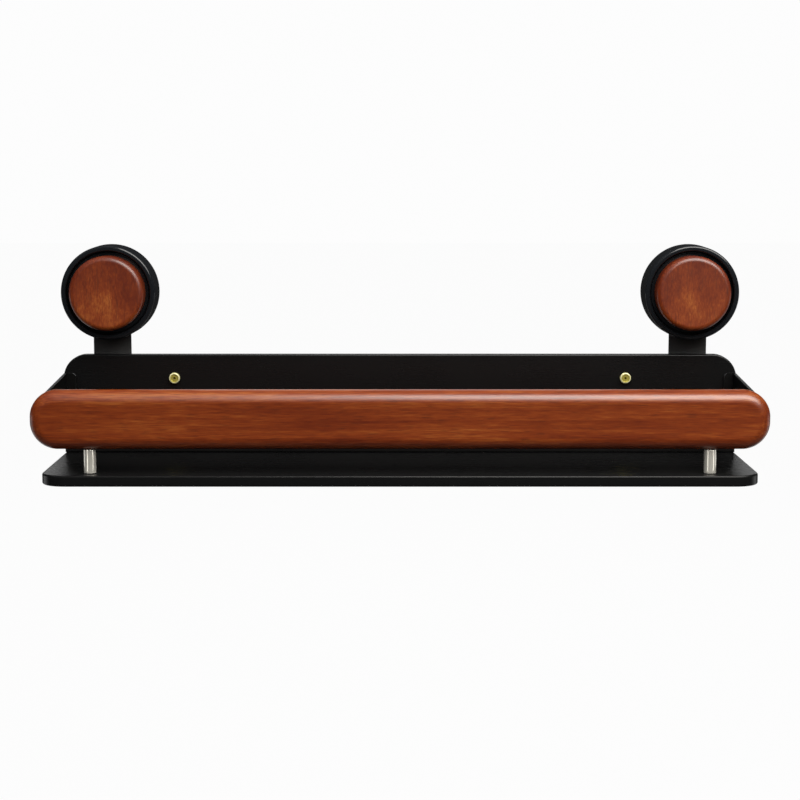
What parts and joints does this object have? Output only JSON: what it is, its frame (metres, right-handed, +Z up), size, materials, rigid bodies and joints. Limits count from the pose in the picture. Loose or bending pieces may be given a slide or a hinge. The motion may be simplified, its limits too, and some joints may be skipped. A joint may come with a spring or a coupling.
{
  "type": "wall ledge with guard rail",
  "caption": "Narrow black wall ledge with a round-ended wooden guard rail on chrome posts, folded end guards, and twist-lock suction mounts with wooden knobs.",
  "frame": {"origin": "on the wall plane, midway between the two suction mounts, at the height of their axes", "axes": "+X along the ledge to the viewer's right, +Y into the wall, +Z up"},
  "size_m": [0.4986, 0.1194, 0.1578],
  "materials": {
    "black_lacquer": "black satin lacquer on board",
    "black_coat": "black powder coat on sheet steel",
    "black_plastic": "fine moulded texture",
    "red_wood": "red-brown hardwood under clear lacquer",
    "chrome": "polished",
    "brass": "polished",
    "zinc_steel": "bright zinc",
    "white_acetal": "natural",
    "black_rubber": "smooth moulded"
  },
  "bodies": {
    "ledge": {"shelf_board": "black_lacquer", "back_plate": "black_lacquer", "front_rail": "red_wood", "board_screw_1": "zinc_steel", "board_screw_2": "zinc_steel", "board_screw_3": "zinc_steel", "board_screw_4": "zinc_steel", "rail_post_left": "chrome", "rail_post_right": "chrome", "rail_insert_left": "brass", "rail_insert_right": "brass", "post_screw_left": "black_coat", "post_screw_right": "black_coat", "side_guard_left": "black_coat", "side_guard_right": "black_coat", "guard_plate_screw_upper_left": "zinc_steel", "guard_plate_screw_lower_left": "zinc_steel", "guard_plate_screw_upper_right": "zinc_steel", "guard_plate_screw_lower_right": "zinc_steel", "guard_rail_screw_upper_left": "zinc_steel", "guard_rail_screw_lower_left": "zinc_steel", "guard_rail_screw_upper_right": "zinc_steel", "guard_rail_screw_lower_right": "zinc_steel", "hanger_left": "black_coat", "hanger_right": "black_coat", "brass_screw_upper_left": "brass", "brass_screw_lower_left": "brass", "brass_screw_upper_right": "brass", "brass_screw_lower_right": "brass", "housing_left": "black_plastic", "housing_right": "black_plastic", "housing_screw_1_left": "zinc_steel", "housing_screw_2_left": "zinc_steel", "housing_screw_3_left": "zinc_steel", "housing_screw_1_right": "zinc_steel", "housing_screw_2_right": "zinc_steel", "housing_screw_3_right": "zinc_steel", "suction_pad_left": "black_rubber", "suction_pad_right": "black_rubber", "wall_bumper_left": "black_rubber", "wall_bumper_right": "black_rubber", "thrust_washer_left": "white_acetal", "thrust_washer_right": "white_acetal"},
    "knob_left": {"knob_base_left": "black_plastic", "knob_nut_left": "brass", "knob_cap_left": "red_wood"},
    "knob_right": {"knob_base_right": "black_plastic", "knob_nut_right": "brass", "knob_cap_right": "red_wood"},
    "stud_left": {"draw_stud_left": "zinc_steel"},
    "stud_right": {"draw_stud_right": "zinc_steel"}
  },
  "joints": [
    {"name": "knob_left_turn", "type": "hinge", "parent": "ledge", "child": "knob_left", "pos_m": [-0.208, 0, 0], "axis": [0, 1, 0], "range_deg": [0, 180]},
    {"name": "knob_right_turn", "type": "hinge", "parent": "ledge", "child": "knob_right", "pos_m": [0.208, 0, 0], "axis": [0, 1, 0], "range_deg": [0, 180]},
    {"name": "stud_left_draw", "type": "slide", "parent": "ledge", "child": "stud_left", "axis": [0, -1, 0], "range_m": [0, 0.0025], "deforming": ["suction_pad_left"]},
    {"name": "stud_right_draw", "type": "slide", "parent": "ledge", "child": "stud_right", "axis": [0, -1, 0], "range_m": [0, 0.0025], "deforming": ["suction_pad_right"]}
  ],
  "couplings": [
    {"joint": "stud_left_draw", "follows": "knob_left_turn", "m_per_rad": 0.00079577},
    {"joint": "stud_right_draw", "follows": "knob_right_turn", "m_per_rad": 0.00079577}
  ]
}
